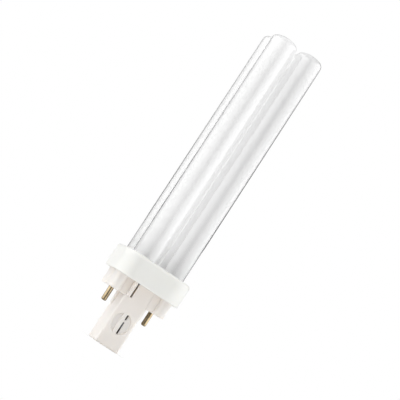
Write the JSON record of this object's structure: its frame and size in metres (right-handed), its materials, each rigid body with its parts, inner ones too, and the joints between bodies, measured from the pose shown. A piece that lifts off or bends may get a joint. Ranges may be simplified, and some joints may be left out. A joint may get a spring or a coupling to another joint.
{
  "type": "compact fluorescent bulb",
  "caption": "Plug-in compact fluorescent bulb: bridged white-coated glass limbs in a square bundle on a white collar with a plug post and brass contact pins.",
  "frame": {"origin": "on the bulb's axis in the seating plane, where the feet of the cap's bosses meet the lamp holder", "axes": "+Z along the bulb's axis to the crowns of the glass limbs, +X across the post towards the right contact pin, -Y to the front"},
  "size_m": [0.033, 0.033, 0.1527],
  "materials": {
    "coated_glass": "clear glass coated white inside",
    "white_moulding": "satin moulded",
    "base_moulding": "satin moulded",
    "pin_brass": "drawn",
    "white_cement": "rough",
    "starter_glass": "clear",
    "capacitor_dip": "dipped",
    "lead_wire": "plain drawn wire"
  },
  "bodies": {
    "root": {"discharge_tube": "coated_glass", "collar": "white_moulding", "base": "base_moulding", "left_contact_pin": "pin_brass", "right_contact_pin": "pin_brass", "tube_cement": "white_cement", "glow_starter": "starter_glass", "suppressor_capacitor": "capacitor_dip", "left_pin_lead": "lead_wire", "right_pin_lead": "lead_wire", "left_starter_lead": "lead_wire", "right_starter_lead": "lead_wire"}
  },
  "joints": []
}
